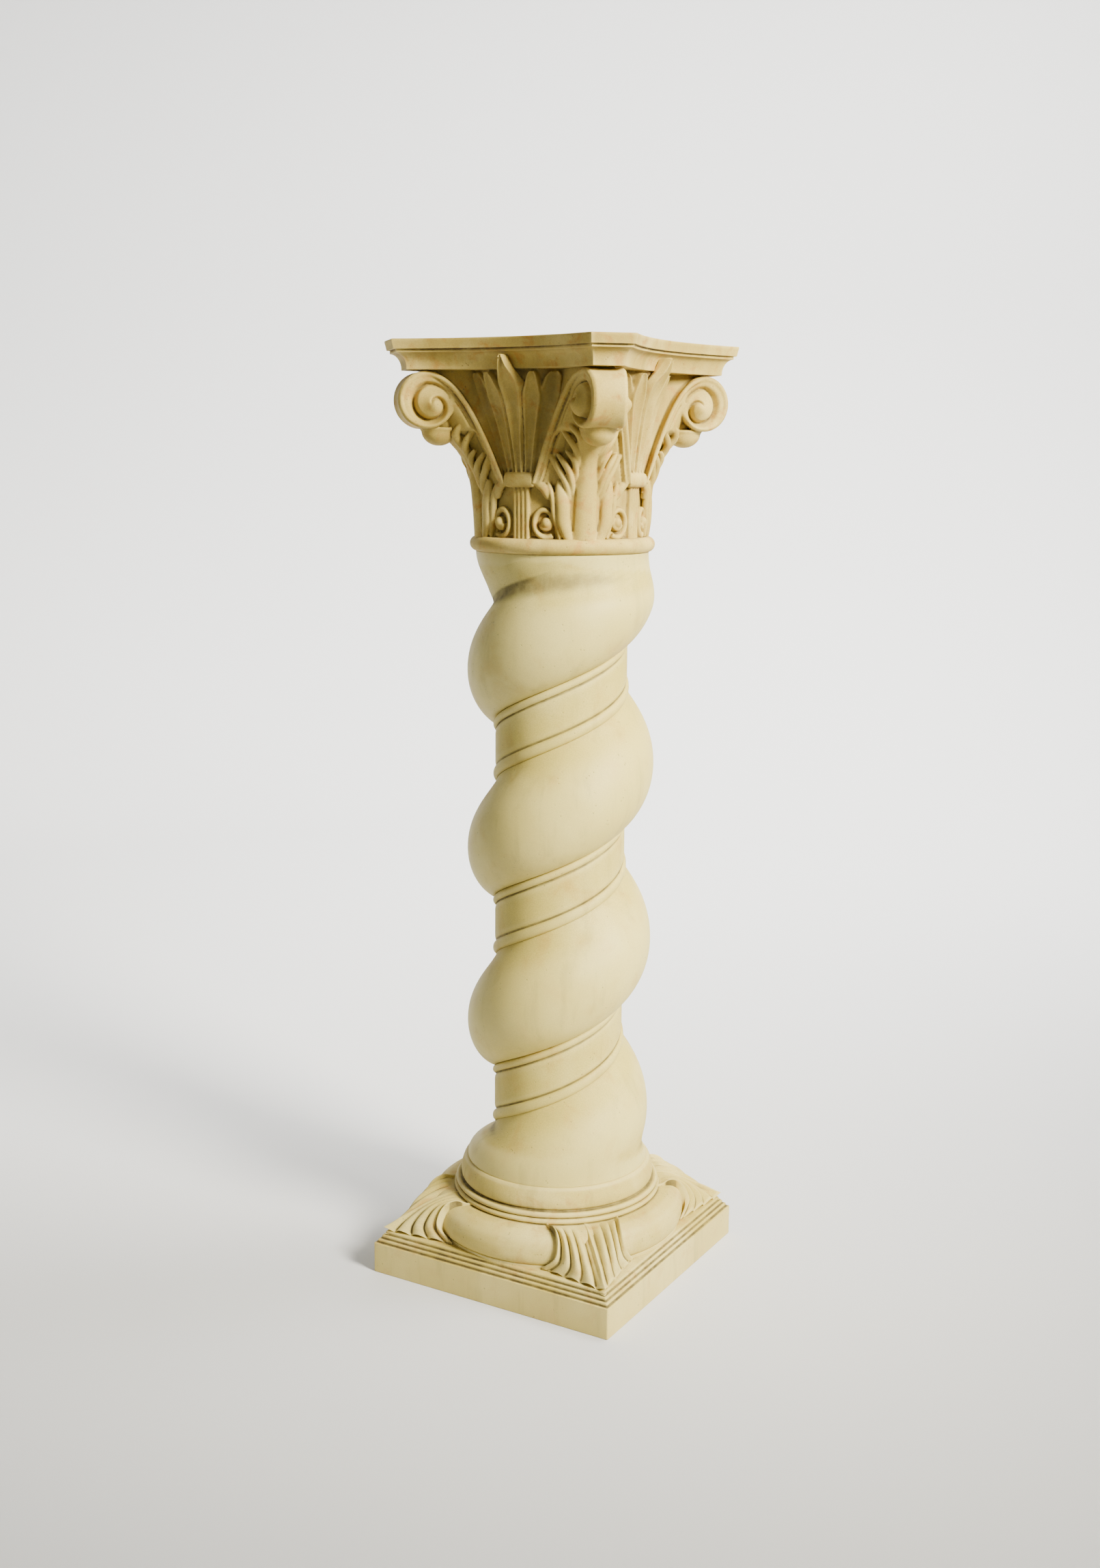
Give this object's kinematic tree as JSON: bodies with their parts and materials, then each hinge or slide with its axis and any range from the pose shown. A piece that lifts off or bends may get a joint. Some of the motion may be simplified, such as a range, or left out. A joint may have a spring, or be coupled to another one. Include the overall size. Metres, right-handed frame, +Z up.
{
  "type": "spiral column",
  "caption": "Freestanding cast stone column with a leafed square base, a spirally twisted shaft and a scrolled capital.",
  "frame": {"origin": "middle of the plinth's underside, on the ground", "axes": "+Z up along the column; X and Y along the plinth's sides"},
  "size_m": [0.3, 0.3, 1.02],
  "materials": {
    "base_stone": "matte cast stone, pale cream yellow",
    "shaft_stone": "matte cast stone, pale cream yellow, slightly smoother",
    "capital_stone": "matte cast stone, pale cream yellow, darker in the carving"
  },
  "bodies": {
    "root": {"base": "base_stone", "shaft": "shaft_stone", "capital": "capital_stone"}
  },
  "joints": []
}
